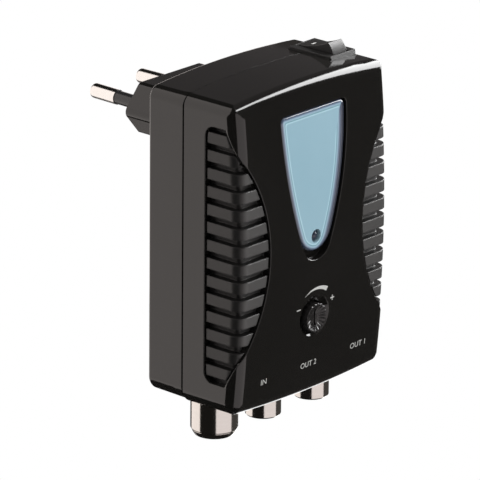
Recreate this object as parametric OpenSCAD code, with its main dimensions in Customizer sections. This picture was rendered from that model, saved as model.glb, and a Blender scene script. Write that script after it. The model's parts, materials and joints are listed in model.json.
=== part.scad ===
// Plug-in aerial amplifier: a two-shell case on a mains plug, with a gain knob, a rocker switch
// and three coaxial connectors underneath.
// Millimetres, +Z up, front towards -Y. The origin is the centre of the plug's face, between the pins.

/* [Case] */
// Width of the case
body_w = 58.4; // [57:0.2:64]
// Height of the case at its corners
body_h = 82.7; // [80:0.1:92]
// Depth of the rear shell
rear_d = 12.6; // [11:0.2:16]
// Depth of the front shell at its edges
front_d = 17.2; // [16.6:0.2:20]
// How far the front face bows forward in the middle
bow = 2.4; // [1.6:0.1:3.2]
// Rise of the arched top
top_arch = 1.5; // [0.8:0.1:2]
// Drop of the arched bottom
bottom_arch = 1.2; // [0.8:0.1:2]
// Radius of the long corners at the top
corner_r = 3.0; // [2.5:0.1:4]
// Radius of the long corners at the bottom
foot_r = 4.0; // [3:0.1:5]
// Radius of the front edges
front_fillet = 3.5; // [3:0.1:4.5]
// Radius of the back edges
back_round = 1.0; // [0.6:0.1:2]
// Taper of the rear shell on each side
rear_draft = 0.2; // [0.1:0.1:0.8]
// Step from the front shell's skin to the rear shell's skin
shell_step = 0.2; // [0.1:0.05:0.4]
// Wall of both shells
wall = 2.2; // [2:0.1:2.4]
// Width of the shadow groove at the joint of the shells
groove_w = 0.7; // [0.4:0.1:1]
// Depth of the shadow groove
groove_d = 0.5; // [0.3:0.1:0.7]
// Length of the rear shell's tongue inside the front shell
tongue_l = 2.4; // [1.5:0.1:3]

/* [Plug] */
// Height of the case's top corners above the plug's centre
plug_drop = 14.1; // [13:0.1:18]
// Depth of the plug's boss behind the case
boss_d = 18.8; // [16:0.2:24]
// Length of the boss across the pins, before its corners are rounded
boss_w = 35.3; // [34:0.1:36]
// Length of the boss's top and bottom flats
boss_flat = 23.6; // [20:0.2:26]
// Thickness of the boss
boss_t = 13.7; // [13:0.1:14.4]
// Radius of the boss's corners
boss_round = 2.0; // [1:0.1:3]
// Length of a pin from the plug's face
pin_len = 19.0; // [18.5:0.1:19.5]
// Diameter of a pin's bare end
pin_d = 4.0; // [3.9:0.05:4.1]
// Diameter of a pin's sleeve
sleeve_d = 3.6; // [3.4:0.05:3.8]
// Length of a pin's sleeve from the plug's face
sleeve_l = 10.0; // [9:0.2:11]
// Distance of the pins at the plug's face
pin_base = 18.6; // [18:0.1:19.2]
// Distance of the pins at their tips
pin_tip = 17.5; // [17:0.1:18]

/* [Side windows] */
// Half width of the front plate at its waist
plate_waist = 17.8; // [17:0.1:19]
// Radius of the plate's curved edges
plate_r = 42; // [38:0.5:50]
// Top of the windows above the middle of the case
win_top = 35.4; // [32:0.1:35.8]
// Bottom of the windows below the middle of the case
win_bottom = 33.6; // [31:0.1:34.5]
// Distance from the joint of the shells to the windows
win_back = 7.2; // [6.6:0.1:8]
// Spacing of the ribs
rib_pitch = 4.8; // [4.4:0.1:5.2]
// Height of a rib
rib_h = 2.95; // [2.4:0.05:3.2]
// How far the ribs lie below the case's skin
rib_sink = 0.3; // [0.2:0.05:0.6]
// Gap round the ribs in a window
rib_gap = 0.55; // [0.3:0.05:0.8]

/* [Badge] */
// Top of the badge's recess above the middle of the case
badge_top = 35.5; // [33:0.1:35.8]
// Half width of the badge's recess at its top
badge_half = 12.8; // [11:0.1:13]
// Radius of the badge's curved sides
badge_r = 105; // [95:1:120]
// Radius of the recess's lower end
badge_tip_r = 5.6; // [5:0.1:6]
// Depth of the badge's recess
badge_deep = 2.0; // [1.6:0.1:2.2]
// How far the badge's face lies below the case's skin
badge_sink = 0.1; // [0.05:0.05:0.6]
// Width of the badge's bevel
badge_bevel = 0.9; // [0.5:0.1:1.2]
// Open length of the recess under the badge's lower end
badge_short = 3.2; // [2:0.1:4]
// Diameter of the light
led_d = 3.0; // [2.8:0.1:3.2]

/* [Gain knob] */
// Drop of the knob's axis below the middle of the case
knob_drop = 21.0; // [19:0.2:23]
// Radius of the dish round the knob at the case's skin
well_r = 5.6; // [5.2:0.1:6.2]
// Depth of the dish
dish_deep = 1.8; // [1.4:0.1:1.9]
// Depth of the pocket under the knob
well_deep = 2.6; // [2:0.1:2.8]
// Radius of the knob
knob_r = 4.0; // [3.2:0.1:4.4]
// How far the knob stands out of the case's skin
knob_out = 1.0; // [0.4:0.1:1.6]
// Number of the knob's flutes
flutes = 18; // [12:1:20]

/* [Switch] */
// Distance of the switch's middle from the case's right side
switch_x = 7.4; // [7:0.1:8.2]
// Width of the switch's bezel
bezel_w = 9.8; // [9.4:0.1:10.2]
// Length of the switch's bezel
bezel_l = 15.0; // [14.4:0.1:15.4]
// Height of the bezel
bezel_h = 1.6; // [1.2:0.1:2]
// Lean of the bezel's end faces
bezel_lean = 24; // [0:1:30]
// Width of the rocker
rocker_w = 5.2; // [4.8:0.1:5.6]
// Radius of the rocker's ends about its axle
rocker_r = 6.3; // [5.9:0.1:6.4]
// Tilt of the rocker at rest
rocker_tilt = 14; // [10:1:15]

/* [Connectors] */
// Spacing of the connectors
con_pitch = 19.0; // [18.4:0.1:19.2]
// Length of the connectors below the case's corners
con_len = 10.5; // [10:0.1:13]
// Outer diameter of the output connectors
out_d = 9.5; // [9.45:0.05:9.55]
// Bore of the input connector
in_bore = 9.6; // [9.55:0.05:9.7]
// Outer diameter of the input connector
in_d = 12.4; // [12:0.1:12.6]
// Distance of the connectors' axes in front of the joint of the shells
con_fwd = 1.8; // [1.6:0.1:2]

/* [Hidden] */
$fn = 64;

// small value that keeps faces from lying in one plane
e = 0.02;
h = body_w / 2;
half_h = body_h / 2;
y_back = -boss_d;
y_part = y_back - rear_d;
y_edge = y_part - front_d;
y_apex = y_edge - bow;
z_top = plug_drop;
z_bot = z_top - body_h;
z_mid = (z_top + z_bot) / 2;
// the front's bow, and the arches of the top and the bottom
bow_r = (half_h * half_h + bow * bow) / (2 * bow);
bow_y = y_apex + bow_r;
top_r = (h * h + top_arch * top_arch) / (2 * top_arch);
top_cz = z_top + top_arch - top_r;
bot_r = (h * h + bottom_arch * bottom_arch) / (2 * bottom_arch);
bot_cz = z_bot - bottom_arch + bot_r;
// one plane carries the axes of the connectors and the middle of the switch
axis_y = y_part - con_fwd;

// heights of the case's skin over one place of its width, and depth of the front over one height
function skin_top(x) = top_cz + sqrt(top_r * top_r - x * x);
function skin_bottom(x) = bot_cz - sqrt(bot_r * bot_r - x * x);
function skin_front(z) = bow_y - sqrt(bow_r * bow_r - (z - z_mid) * (z - z_mid));

// grille
floor_t = 1.2;
flange = 1.0;
rib_count = 14;
rib_up = 1.0;
plate_up = 0.6;
win_turn_top = 27.4;
win_turn_bottom = 26.0;
// badge
badge_off = badge_r - badge_half;
badge_hub_z = badge_top + 2.1;
tip_z = badge_hub_z - sqrt(pow(badge_r - badge_tip_r, 2) - badge_off * badge_off);
led_z = z_mid + tip_z + 0.8;
pad_t = 1.3;
// knob
knob_z = z_mid - knob_drop;
well_floor = skin_front(knob_z) + well_deep;
knob_face = skin_front(knob_z) - knob_out;
knob_back = well_floor - 0.35;
knob_gap = 0.4;
dish_r = (well_r * well_r + dish_deep * dish_deep) / (2 * dish_deep);
shaft_r = 1.5;
hub_r = 1.1;
face_drop = 0.9;
face_slope = atan(face_drop / (knob_r - hub_r));
// board
board_t = 1.6;
board_y = axis_y - 5.8;
board_half = h - wall - floor_t - 0.75;
board_gap = 2.8;
board_top = z_top - wall - board_gap;
post_r = 2.8;
post_x = 15;
post_span = 24;
well_post_r = post_r + 1.3;
screw_up = 5;
screw_x = plate_waist - flange - post_r - 0.3;
screw_z = z_mid + screw_up;
// transformer and capacitors
core_half = screw_x - well_post_r - 0.4;
core_h = 22;
core_t = 9;
core_lift = 1.5;
core_drop = 1;
core_z = screw_z - core_drop;
leg_x = core_half * 0.55;
leg_gap = 3.8;
leg_h = 15;
coil_t = 12;
coil_gap = 0.2;
cap_r = 3.1;
cap_h = 11;
cap_pitch = 7;
cap_up = 18.5;
// shielding can
can_gap = 2;
can_top = core_z - core_h / 2 - can_gap;
can_bottom = z_bot + wall + 1.9;
can_t = 0.5;
can_back = axis_y + 5.7;
// switch
switch_mid = h - switch_x;
seat_z = skin_top(switch_mid + bezel_w / 2) - 0.2;
bezel_z = seat_z + bezel_h;
pivot_z = bezel_z - 2.0;
rocker_top = 3.8;
slot_gap = 0.3;
slot_w = rocker_w + 2 * slot_gap;
axle_l = slot_w + 0.9;
axle_r = 0.9;
frame_deep = 12;
bezel_lip = 0.3;
// connectors
con_end = z_bot - con_len;
out_bore = out_d - 1.3;
in_pin_d = 2.4;
shell_hole_gap = 0.3;
neck_r = 3.4;
sock_gap = 3.9;
sock_top = can_bottom - sock_gap;
collar_r = out_d / 2 + 0.7;
collar_low = z_bot - bottom_arch - 0.4;
neck_gap = 0.6;
// plug
plate_t = 3.0;
pin_lean = atan((pin_base - pin_tip) / 2 / pin_len);
core_d = sleeve_d - 0.9;
pin_seat_gap = 0.1;
face_ring = 0.5;
strap_w = 3.0;

// flat shape in the front view, drawn out from one depth to another
module along_y(y0, y1) {
    translate([0, y1, 0])
        rotate([90, 0, 0])
            linear_extrude(y1 - y0)
                children();
}

// round bar along the depth
module bar_y(x, z, y0, y1, r) {
    translate([x, y1, z])
        rotate([90, 0, 0])
            cylinder(h = y1 - y0, r = r);
}

// polygon whose corners are rounded with one radius
function unit(v) = v / norm(v);
function turn_in(p, a, b, r) = let (u = unit(a - p), v = unit(b - p), k = acos(u * v) / 2)
    [p + u * (r / tan(k)), p + v * (r / tan(k)), p + unit(u + v) * (r / sin(k))];
module rounded_polygon(p, r) {
    n = len(p);
    t = [for (i = [0 : n - 1]) turn_in(p[i], p[(i + n - 1) % n], p[(i + 1) % n], r)];
    polygon([for (i = [0 : n - 1]) each [t[i][0], t[i][1]]]);
    for (i = [0 : n - 1])
        translate(t[i][2])
            circle(r);
}

// long corners in the front view, inset by d and rounder by more: t is 1 at the top, -1 at the bottom
rear_more = 0.6;
function arch_r(t) = t > 0 ? top_r : bot_r;
function arch_z(t) = t > 0 ? top_cz : bot_cz;
function long_r(t, d, more) = max((t > 0 ? corner_r : foot_r) + more - d, 0.8);
function long_hub(t, d, more) = let (r = long_r(t, d, more), x = h - d - r)
    [x, arch_z(t) + t * sqrt(pow(arch_r(t) - d - r, 2) - x * x)];
// direction in which a corner's rounding runs into the arch
function long_end(t, hub) = unit(hub - [0, arch_z(t)]);

// front view of the case
module outline(d, more = 0) {
    w = h - d;
    low = long_hub(-1, d, more)[1];
    translate([-w, low])
        square([2 * w, long_hub(1, d, more)[1] - low]);
    for (t = [-1, 1]) {
        hub = long_hub(t, d, more);
        k = hub + long_end(t, hub) * (long_r(t, d, more) + 5);
        intersection() {
            translate([0, arch_z(t)])
                circle(arch_r(t) - d, $fn = 720);
            polygon([[-hub[0], hub[1]], hub, k, [-k[0], k[1]]]);
        }
        for (m = [-1, 1])
            translate([m * hub[0], hub[1]])
                circle(long_r(t, d, more));
    }
}

// front view of the space round a long corner on the right
module corner_space(t, hub) {
    reach = 12;
    polygon([hub, hub + [reach, 0], hub + [reach, t * reach], hub + long_end(t, hub) * reach]);
}

// children on the right and on the left
module both_sides() {
    for (m = [0, 1])
        mirror([m, 0, 0])
            children();
}

// body with the bowed front and its rounded upright edges, inset by d
module bowed(d, deep = 40) {
    r = max(front_fillet - d, 0.8);
    w = h - d + e;
    big = bow_r - d;
    span = 2 * asin((half_h + 6) / (big - deep));
    translate([0, bow_y, z_mid])
        rotate([-90, 0, 0])
            rotate([0, 90, 0])
                rotate([0, 0, -span / 2])
                    rotate_extrude(angle = span, $fn = 1440) {
                        translate([big - deep, -w])
                            square([deep - r, 2 * w]);
                        translate([big - deep, r - w])
                            square([deep, 2 * (w - r)]);
                        for (s = [-1, 1])
                            translate([big - r, s * (w - r)])
                                circle(r, $fn = 48);
                    }
}

// what is cut away to round the front's top or bottom edge, swept along the arch about its centre
module front_edge(arc_r) {
    r = front_fillet;
    lean = 16;
    face = -y_edge + bow * (1 - pow((half_h - r) / half_h, 2));
    c = [arc_r + e - r, face - r * tan(lean) - r * (1 - sin(lean)) / cos(lean)];
    t = c + r * [sin(lean), cos(lean)];
    q = t + 9 * [-cos(lean), sin(lean)];
    span = 2 * asin((h + 3) / (arc_r - 20));
    rotate([0, 0, 90])
        rotate([0, -90, 0])
            rotate([0, 0, -span / 2])
                rotate_extrude(angle = span, $fn = 1440)
                    difference() {
                        polygon([c, c + [r + 4, 0], c + [r + 4, 12], q + [0, 9], q, t]);
                        translate(c)
                            circle(r, $fn = 96);
                    }
}

// what is cut away to round a long corner into the front's edges
module front_corner(t) {
    hub = long_hub(t, 0, 0);
    r = long_r(t, 0, 0) + 2 * e;
    f = min(front_fillet, r - 0.2);
    c = [r - f, 2 * e - skin_front(hub[1]) - f];
    difference() {
        along_y(y_apex - 2, y_part + 1)
            corner_space(t, hub);
        translate([hub[0], 0, hub[1]])
            rotate([90, 0, 0])
                rotate_extrude() {
                    translate([0, -y_part - 2])
                        square([r, c[1] + y_part + 2]);
                    translate([0, c[1] - e])
                        square([c[0], f + e]);
                    translate(c)
                        intersection() {
                            circle(f, $fn = 96);
                            translate([0, -e])
                                square(f + 1);
                        }
                }
    }
}

// solid form of the front shell
module front_form() {
    difference() {
        difference() {
            intersection() {
                along_y(y_apex - 1, y_part)
                    outline(0);
                bowed(0);
            }
            translate([0, 0, top_cz])
                front_edge(top_r);
            translate([0, 0, bot_cz])
                rotate([0, 180, 0])
                    front_edge(bot_r);
        }
        both_sides() {
            front_corner(1);
            front_corner(-1);
        }
    }
}

// edge of the rear shell, drawn from the joint back: outward size w, inner limit w0
module rear_edge(w0, w) {
    r = back_round;
    t = rear_draft;
    k = atan(t / rear_d);
    xc = w - t - r * (1 - sin(k)) / cos(k) + r * tan(k);
    polygon([[w0, 0], [w, 0], [xc + r * cos(k), rear_d - r + r * sin(k)], [xc, rear_d - r],
             [xc, rear_d], [w0, rear_d]]);
    translate([xc, rear_d - r])
        circle(r, $fn = 48);
}

// tapered and rounded top or bottom of the rear shell, swept along the arch about its centre
module rear_arch(arc_r) {
    low = arc_r - body_h - 8;
    span = 2 * asin((h + 3) / low);
    rotate([0, 0, -90])
        rotate([0, -90, 0])
            rotate([0, 0, -span / 2])
                rotate_extrude(angle = span, $fn = 1440)
                    rear_edge(low, arc_r + e);
}

// what is cut away to round a long corner into the rear's edges
module rear_corner(t) {
    hub = long_hub(t, shell_step, rear_more);
    difference() {
        along_y(y_part - 1, y_back + 1)
            corner_space(t, hub);
        translate([hub[0], y_part, hub[1]])
            rotate([-90, 0, 0])
                rotate_extrude()
                    rear_edge(0, long_r(t, shell_step, rear_more) + 2 * e);
    }
}

// solid form of the rear shell
module rear_form() {
    d = shell_step;
    difference() {
        intersection() {
            along_y(y_part, y_back)
                outline(d, rear_more);
            translate([0, y_part, z_bot - 10])
                linear_extrude(body_h + 20) {
                    rear_edge(-1, h - d + e);
                    mirror([1, 0])
                        rear_edge(-1, h - d + e);
                }
            translate([0, y_part, top_cz])
                rear_arch(top_r - d);
            translate([0, y_part, bot_cz])
                rotate([0, 180, 0])
                    rear_arch(bot_r - d);
        }
        both_sides() {
            rear_corner(1);
            rear_corner(-1);
        }
    }
}

// hexagonal contour of the plug
module plug_contour(d) {
    a = boss_w / 2 - d * 1.2;
    b = boss_flat / 2 - d * 0.5;
    c = boss_t / 2 - d;
    rounded_polygon([[a, 0], [b, c], [-b, c], [-a, 0], [-b, -c], [b, -c]], max(boss_round - d, 0.5));
}

// window on the right, shrunk by c: the plate's curved edge in the front view, and the side view
module window_front(c) {
    intersection() {
        translate([plate_waist + plate_r, z_mid + plate_up])
            circle(plate_r - c, $fn = 360);
        translate([0, z_mid - win_bottom])
            square([h + 5, win_top + win_bottom]);
    }
}
module window_side(c) {
    t = z_mid + win_top - c;
    b = z_mid - win_bottom + c;
    zt = z_mid + win_turn_top - c / 2;
    zb = z_mid - win_turn_bottom + c / 2;
    y = y_part - win_back - c;
    ys = y_edge + front_fillet;
    yt = skin_front(t) + front_fillet + 0.2 + c;
    yb = skin_front(b) + front_fillet + 0.2 + c;
    r = max(3 - c, 0.8);
    polygon([[y - r, t], [yt, t], [skin_front(zt) + 0.5 + c, zt], [ys, zt - 3], [ys, zb + 3],
             [skin_front(zb) + 0.5 + c, zb], [yb, b], [y - r, b]]);
    translate([y - r - 0.5, b + r])
        square([r + 0.5, t - b - 2 * r]);
    translate([y - r, t - r])
        circle(r);
    translate([y - r, b + r])
        circle(r);
}
module window(c, inward = wall + 0.5) {
    along_y(y_apex - 3, y_part - win_back - c)
        window_front(c);
    translate([h - inward, 0, 0])
        rotate([90, 0, 90])
            linear_extrude(inward + 6)
                window_side(c);
}

// shield shape of the badge's recess, inset by d and with its lower end raised by s
module shield(d, s = 0) {
    big = badge_r - d;
    low = [0, tip_z + s];
    hub = [-badge_off, badge_hub_z];
    r = big - norm(low - hub);
    round = max(1.8 - d, 0.6);
    top = badge_top - d;
    zc = top - round;
    xc = sqrt(pow(big - round, 2) - pow(badge_hub_z - zc, 2)) - badge_off;
    k = low + unit(low - hub) * (r + 6);
    q = [xc, zc] + unit([xc, zc] - hub) * (round + 6);
    translate([0, z_mid]) {
        intersection() {
            translate(hub)
                circle(big, $fn = 720);
            translate([badge_off, badge_hub_z])
                circle(big, $fn = 720);
            polygon([low, k, q, [xc, zc], [xc, top], [-xc, top], [-xc, zc], [-q[0], q[1]], [-k[0], k[1]]]);
        }
        translate(low)
            circle(r, $fn = 96);
        for (t = [-1, 1])
            translate([t * xc, zc])
                circle(round);
    }
}

// holes through both shells for the connectors and the switch
module con_hole(x, r) {
    translate([x, axis_y, con_end])
        cylinder(h = can_bottom - con_end, r = r);
}
module openings() {
    con_hole(-con_pitch, in_d / 2 + shell_hole_gap);
    con_hole(0, collar_r + shell_hole_gap);
    con_hole(con_pitch, collar_r + shell_hole_gap);
    translate([switch_mid - bezel_w / 2 - 0.15, axis_y - bezel_l / 2 - 0.15, seat_z])
        cube([bezel_w + 4, bezel_l + 0.3, 6]);
    translate([switch_mid - bezel_w / 2 + 0.7, axis_y - bezel_l / 2 + 0.7, seat_z - frame_deep - 1])
        cube([bezel_w - 1.4, bezel_l - 1.4, frame_deep + 4]);
}

module rear_case() {
    color([0.10, 0.10, 0.10])
        difference() {
            union() {
                rear_form();
                along_y(y_back - 1, 0)
                    plug_contour(0);
                difference() {
                    along_y(y_part - tongue_l, y_part + 1)
                        outline(wall + 0.2);
                    along_y(y_part - tongue_l - 1, y_part + 2)
                        outline(wall + 1.4);
                }
                for (s = [-1, 1])
                    bar_y(s * screw_x, screw_z, y_part, y_back - 1, well_post_r);
            }
            difference() {
                along_y(y_part, y_back - wall)
                    outline(wall);
                for (s = [-1, 1])
                    bar_y(s * screw_x, screw_z, y_part - 1, y_back, well_post_r);
                difference() {
                    along_y(y_part - 1, y_part + 1)
                        outline(wall - 0.5);
                    along_y(y_part - 2, y_part + 2)
                        outline(wall + 1.4);
                }
            }
            along_y(y_back - wall - 1, -plate_t)
                plug_contour(2.0);
            // shadow groove at the joint
            difference() {
                along_y(y_part - e, y_part + groove_w)
                    square([3 * body_w, 3 * body_h], center = true);
                along_y(y_part - 1, y_part + groove_w + 1)
                    outline(shell_step + groove_d);
            }
            for (s = [-1, 1]) {
                translate([s * pin_base / 2, 0, 0])
                    rotate([0, 0, s * pin_lean])
                        bar_y(0, 0, -plate_t - 2, 2, sleeve_d / 2);
                bar_y(s * pin_base / 2, 0, -1, 1, sleeve_d / 2 + face_ring);
                bar_y(s * screw_x, screw_z, y_part - 1, y_back + 1, 1.6);
                bar_y(s * screw_x, screw_z, y_part + 3, y_back + 1, 2.9);
            }
            openings();
        }
}

module front_case() {
    color([0.08, 0.08, 0.08])
        difference() {
            union() {
                difference() {
                    front_form();
                    intersection() {
                        along_y(y_apex, y_part + 1)
                            outline(wall);
                        bowed(wall);
                    }
                }
                // pads behind the badge's recess and the knob's well
                intersection() {
                    along_y(y_apex, y_part - 6)
                        shield(-1.3);
                    difference() {
                        bowed(wall - 0.6);
                        bowed(badge_deep + pad_t);
                    }
                }
                bar_y(0, knob_z, well_floor - 2, well_floor + pad_t, well_r + 1.2);
                // posts for the screws and the board
                for (s = [-1, 1]) {
                    intersection() {
                        bar_y(s * screw_x, screw_z, y_apex, y_part, post_r);
                        bowed(wall - 0.6);
                    }
                    for (z = [screw_z + post_span, screw_z - post_span])
                        intersection() {
                            bar_y(s * post_x, z, y_apex, board_y, 2.2);
                            bowed(wall - 0.6);
                        }
                }
            }
            window(0);
            mirror([1, 0, 0])
                window(0);
            difference() {
                along_y(y_apex - 2, y_part)
                    shield(0);
                bowed(badge_deep);
            }
            bar_y(0, led_z, y_apex - 1, y_part, led_d / 2 + 0.15);
            // dish round the knob, and the pocket under it
            translate([0, skin_front(knob_z) + dish_deep - dish_r, knob_z])
                sphere(r = dish_r, $fn = 180);
            bar_y(0, knob_z, y_apex, well_floor, knob_r + knob_gap);
            bar_y(0, knob_z, y_apex, y_part, shaft_r + 0.25);
            for (s = [-1, 1])
                bar_y(s * screw_x, screw_z, y_part - 9, y_part + 1, 1.1);
            openings();
        }
}

// ribs and their floor behind the right window
module grille() {
    intersection() {
        difference() {
            bowed(rib_sink);
            bowed(wall + 0.7);
        }
        window(rib_gap);
        for (i = [0 : rib_count - 1])
            translate([0, y_apex - 2, z_mid + rib_up + (i - (rib_count - 1) / 2) * rib_pitch - rib_h / 2])
                cube([h + 2, front_d + bow, rib_h]);
    }
    intersection() {
        difference() {
            bowed(wall + 0.1);
            bowed(wall + floor_t + 0.1);
        }
        window(-flange, 9);
    }
}
module grille_right() {
    color([0.13, 0.13, 0.13])
        grille();
}
module grille_left() {
    color([0.13, 0.13, 0.13])
        mirror([1, 0, 0])
            grille();
}

module badge() {
    color([0.62, 0.76, 0.82])
        difference() {
            intersection() {
                along_y(y_apex - 2, y_part)
                    shield(0.3, badge_short);
                union() {
                    bowed(badge_sink + 0.7);
                    intersection() {
                        bowed(badge_sink);
                        along_y(y_apex - 2, y_part)
                            shield(0.3 + badge_bevel, badge_short);
                    }
                }
            }
            bowed(badge_deep);
            bar_y(0, led_z, y_apex - 2, y_part, led_d / 2 + 0.15);
        }
}

module led() {
    front = skin_front(led_z) + badge_sink + 0.3;
    color([0.25, 0.28, 0.32]) {
        translate([0, front + led_d / 2, led_z])
            sphere(r = led_d / 2);
        bar_y(0, led_z, front + led_d / 2, front + 5.2, led_d / 2);
        bar_y(0, led_z, front + 4.2, front + 5.2, led_d / 2 + 0.35);
        for (s = [-1, 1])
            translate([s * 1.27 - 0.25, front + 5, led_z - 0.25])
                cube([0.5, board_y - front - 5, 0.5]);
    }
}

module gain_knob() {
    color([0.12, 0.12, 0.12])
        difference() {
            union() {
                bar_y(0, knob_z, knob_face + face_drop, knob_back, knob_r);
                translate([0, knob_face + face_drop, knob_z])
                    rotate([90, 0, 0])
                        cylinder(h = face_drop, r1 = knob_r, r2 = hub_r);
            }
            // flutes of the side run on over the face and taper towards the hub
            for (i = [0 : flutes - 1])
                translate([0, 0, knob_z])
                    rotate([0, 360 / flutes * (i + 0.5), 0]) {
                        bar_y(knob_r + 0.15, 0, knob_face - 1, knob_back + 1, 0.5);
                        translate([hub_r, knob_face - 0.05, 0])
                            rotate([0, 0, face_slope])
                                rotate([0, 90, 0])
                                    cylinder(h = knob_r, r1 = 0.1, r2 = 0.6);
                    }
            // slot for a screwdriver
            translate([-0.35, knob_face - 1, knob_z - 2.2])
                cube([0.7, 1.8, 4.4]);
            bar_y(0, knob_z, knob_face + 1.5, knob_back + 1, shaft_r);
        }
}
module pot_shaft() {
    color([0.75, 0.75, 0.72])
        bar_y(0, knob_z, knob_face + 1.5, well_floor + pad_t + 1.8, shaft_r);
}
module pot_body() {
    front = well_floor + pad_t + 0.2;
    color([0.15, 0.22, 0.40])
        difference() {
            union() {
                bar_y(0, knob_z, front, board_y, 4.9);
                translate([-4.4, front, knob_z - 6.2])
                    cube([8.8, board_y - front, 6.2]);
            }
            bar_y(0, knob_z, front - 1, front + 1.9, shaft_r + 0.05);
        }
}

// place of the rocker's axle
module at_pivot() {
    translate([switch_mid, axis_y, pivot_z])
        children();
}
module rounded_plate(w, l, t, r) {
    linear_extrude(t) {
        square([w - 2 * r, l], center = true);
        square([w, l - 2 * r], center = true);
        for (s = [-1, 1], q = [-1, 1])
            translate([s * (w / 2 - r), q * (l / 2 - r)])
                circle(r, $fn = 48);
    }
}
// bezel of the switch, upright on its sides and leaning at its ends above a small lip
module bezel() {
    lean = (bezel_h - bezel_lip) * tan(bezel_lean);
    low = bezel_l / 2 + e;
    high = bezel_l / 2 - lean;
    intersection() {
        rounded_plate(bezel_w, bezel_l, bezel_h, 0.8);
        rotate([90, 0, 90])
            linear_extrude(2 * bezel_w, center = true)
                polygon([[-low, -e], [low, -e], [low, bezel_lip], [high, bezel_h + e], [-high, bezel_h + e],
                         [-low, bezel_lip]]);
    }
}
module switch_frame() {
    slot_l = 2 * rocker_r + 2 * slot_gap;
    color([0.07, 0.07, 0.07])
        translate([switch_mid, axis_y, 0])
            difference() {
                union() {
                    translate([0, 0, seat_z])
                        bezel();
                    translate([-bezel_w / 2 + 1.3, -bezel_l / 2 + 1, seat_z - frame_deep])
                        cube([bezel_w - 2.6, bezel_l - 2, frame_deep + 0.5]);
                }
                translate([-slot_w / 2, -slot_l / 2, pivot_z - 5.5])
                    cube([slot_w, slot_l, 20]);
                translate([0, 0, pivot_z])
                    rotate([0, 90, 0])
                        cylinder(h = axle_l, r = axle_r, center = true);
            }
}
module rocker_axle() {
    color([0.70, 0.70, 0.68])
        at_pivot()
            rotate([0, 90, 0])
                cylinder(h = axle_l, r = axle_r, center = true);
}
module rocker() {
    color([0.60, 0.60, 0.60])
        at_pivot()
            rotate([-rocker_tilt, 0, 0])
                rotate([90, 0, 90])
                    linear_extrude(rocker_w, center = true)
                        difference() {
                            intersection() {
                                circle(rocker_r, $fn = 96);
                                translate([-10, -2.0])
                                    square([20, rocker_top + 2.0]);
                            }
                            translate([0, rocker_top + 23.2])
                                circle(24, $fn = 360);
                            circle(axle_r + 0.06, $fn = 48);
                            for (s = [-1, 1])
                                translate([s * 6.2, -3.2])
                                    rotate(s * 35)
                                        square([6, 4], center = true);
                        }
}
module switch_terminals() {
    color([0.80, 0.65, 0.30])
        for (s = [-1, 1])
            translate([switch_mid - 1.6, axis_y + s * 3.5 - 0.4, seat_z - frame_deep - 5])
                cube([3.2, 0.8, 5]);
}

// coaxial connectors: a shell with a neck through the can's wall, an insulator and a contact
module neck(x) {
    translate([x, axis_y, can_bottom - 1])
        cylinder(h = 2.2, r = neck_r);
}
module in_shell() {
    color([0.78, 0.78, 0.78])
        difference() {
            union() {
                neck(-con_pitch);
                translate([-con_pitch, axis_y, con_end])
                    cylinder(h = can_bottom - con_end, r = in_d / 2 - 0.45);
                translate([-con_pitch, axis_y, con_end + 1.8])
                    cylinder(h = can_bottom - con_end - 1.8, r = in_d / 2);
            }
            translate([-con_pitch, axis_y, con_end - 1])
                cylinder(h = sock_top - con_end + 1, r = in_bore / 2);
            translate([-con_pitch, axis_y, con_end - 1])
                cylinder(h = 30, r = 2.4);
        }
}
module in_insulator() {
    color([0.92, 0.92, 0.90])
        difference() {
            union() {
                translate([-con_pitch, axis_y, sock_top - 2])
                    cylinder(h = 2, r = in_bore / 2);
                translate([-con_pitch, axis_y, sock_top - 2])
                    cylinder(h = can_bottom + 1.2 - sock_top + 2, r = 2.4);
            }
            translate([-con_pitch, axis_y, sock_top - 3])
                cylinder(h = 20, r = 1.9);
        }
}
module in_contact() {
    color([0.85, 0.72, 0.40])
        difference() {
            translate([-con_pitch, axis_y, con_end + 1.5])
                cylinder(h = can_bottom + 4 - con_end - 1.5, r = 1.9);
            translate([-con_pitch, axis_y, con_end])
                cylinder(h = sock_top - con_end, r = in_pin_d / 2 + 0.03);
        }
}
module out_shell(x) {
    color([0.80, 0.80, 0.80])
        difference() {
            union() {
                neck(x);
                translate([x, axis_y, collar_low])
                    cylinder(h = can_bottom - collar_low, r = collar_r);
                translate([x, axis_y, con_end + 1])
                    cylinder(h = can_bottom - con_end - 1, r = out_d / 2 - 0.35);
                translate([x, axis_y, con_end + 0.4])
                    cylinder(h = collar_low - neck_gap - con_end - 0.4, r = out_d / 2);
                translate([x, axis_y, con_end])
                    cylinder(h = 0.4, r1 = out_d / 2 - 0.35, r2 = out_d / 2);
            }
            translate([x, axis_y, con_end - 1])
                cylinder(h = sock_top - con_end + 1, r = out_bore / 2);
            translate([x, axis_y, con_end - 1])
                cylinder(h = 30, r = 2.4);
        }
}
module out_insulator(x) {
    color([0.92, 0.92, 0.90])
        difference() {
            union() {
                translate([x, axis_y, sock_top - 2])
                    cylinder(h = 2, r = out_bore / 2);
                translate([x, axis_y, sock_top - 2])
                    cylinder(h = can_bottom + 1.2 - sock_top + 2, r = 2.4);
            }
            translate([x, axis_y, sock_top - 3])
                cylinder(h = 20, r = in_pin_d / 2);
        }
}
module out_pin(x) {
    color([0.85, 0.72, 0.40]) {
        translate([x, axis_y, con_end + 1.2])
            cylinder(h = can_bottom + 4 - con_end - 1.2, r = in_pin_d / 2);
        translate([x, axis_y, con_end + 0.7])
            cylinder(h = 0.5, r1 = in_pin_d / 2 - 0.4, r2 = in_pin_d / 2);
    }
}
module out1_shell() { out_shell(con_pitch); }
module out1_insulator() { out_insulator(con_pitch); }
module out1_pin() { out_pin(con_pitch); }
module out2_shell() { out_shell(0); }
module out2_insulator() { out_insulator(0); }
module out2_pin() { out_pin(0); }

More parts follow.
